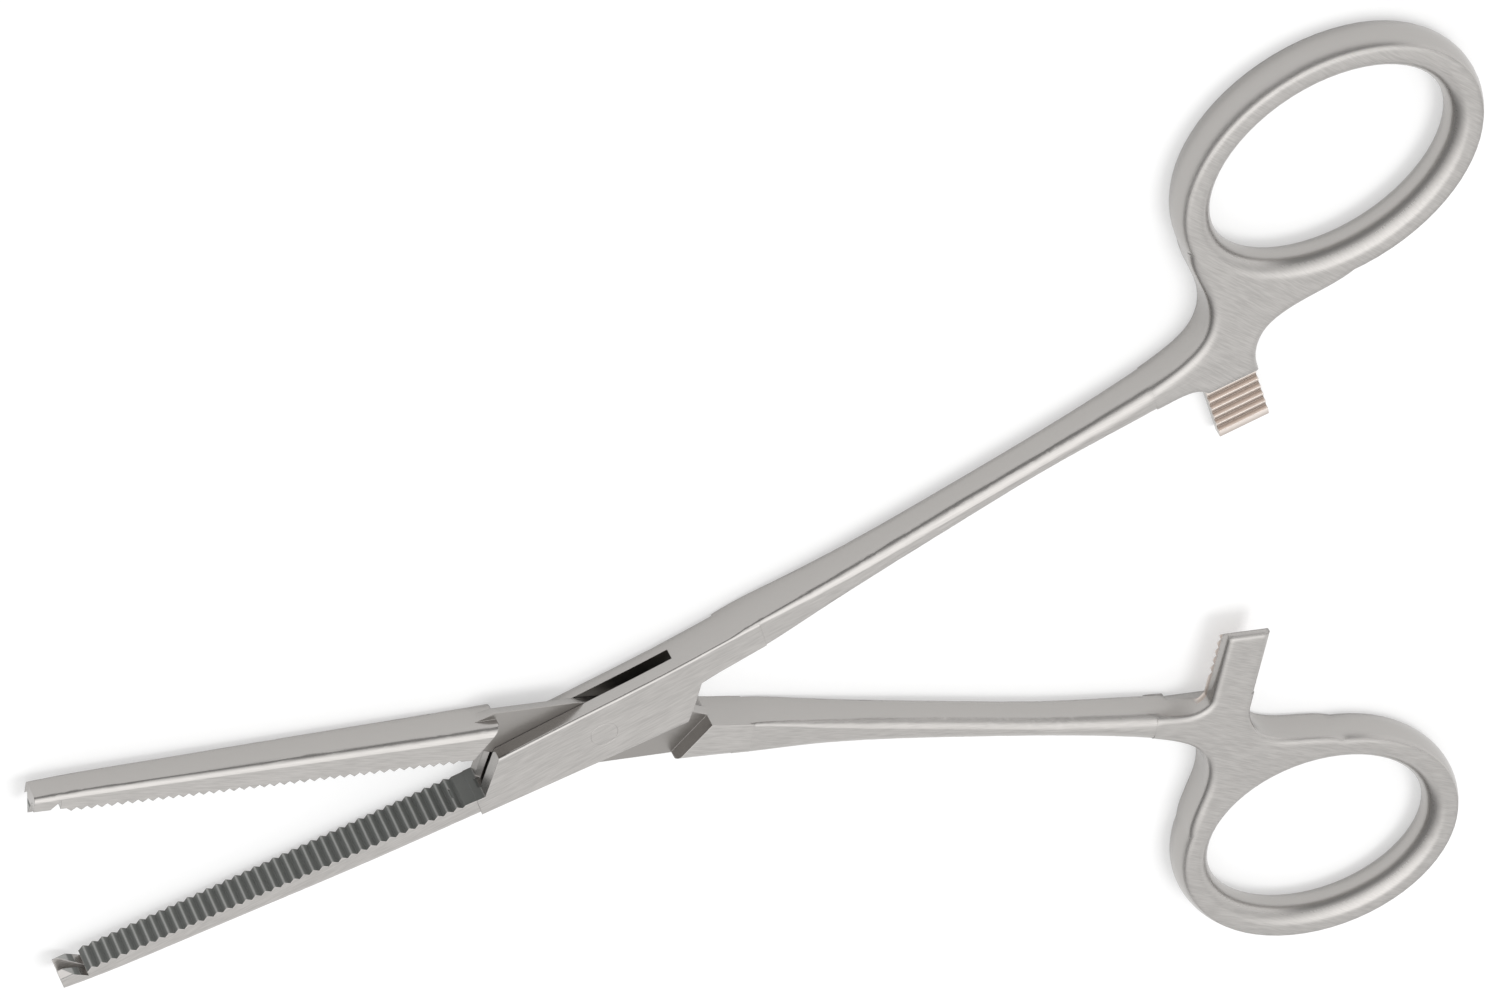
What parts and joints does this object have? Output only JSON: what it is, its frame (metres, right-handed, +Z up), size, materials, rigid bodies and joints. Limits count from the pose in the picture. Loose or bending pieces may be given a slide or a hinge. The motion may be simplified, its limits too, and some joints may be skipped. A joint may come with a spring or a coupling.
{
  "type": "hemostatic forceps",
  "caption": "Straight steel hemostatic forceps with box lock, serrated jaws with end teeth, finger rings and ratchet, lying open.",
  "frame": {"origin": "middle of the outline of the open forceps, on the surface it lies on", "axes": "+X from the jaws toward the finger rings, +Z up through the thickness, +Y toward the ring of the box half"},
  "size_m": [0.1508, 0.1226, 0.0044],
  "materials": {
    "steel": "satin, ground along the length",
    "pin_steel": "satin, ground flush with the box"
  },
  "bodies": {
    "box_body": {"box_half": "steel", "pivot_pin": "pin_steel"},
    "lock_body": {"lock_half": "steel"}
  },
  "joints": [
    {"name": "box_lock", "type": "hinge", "parent": "box_body", "child": "lock_body", "pos_m": [-0.01811, -0.00004, 0.0022], "axis": [0, 0, 1], "range_deg": [-46.5, 23.5]}
  ]
}
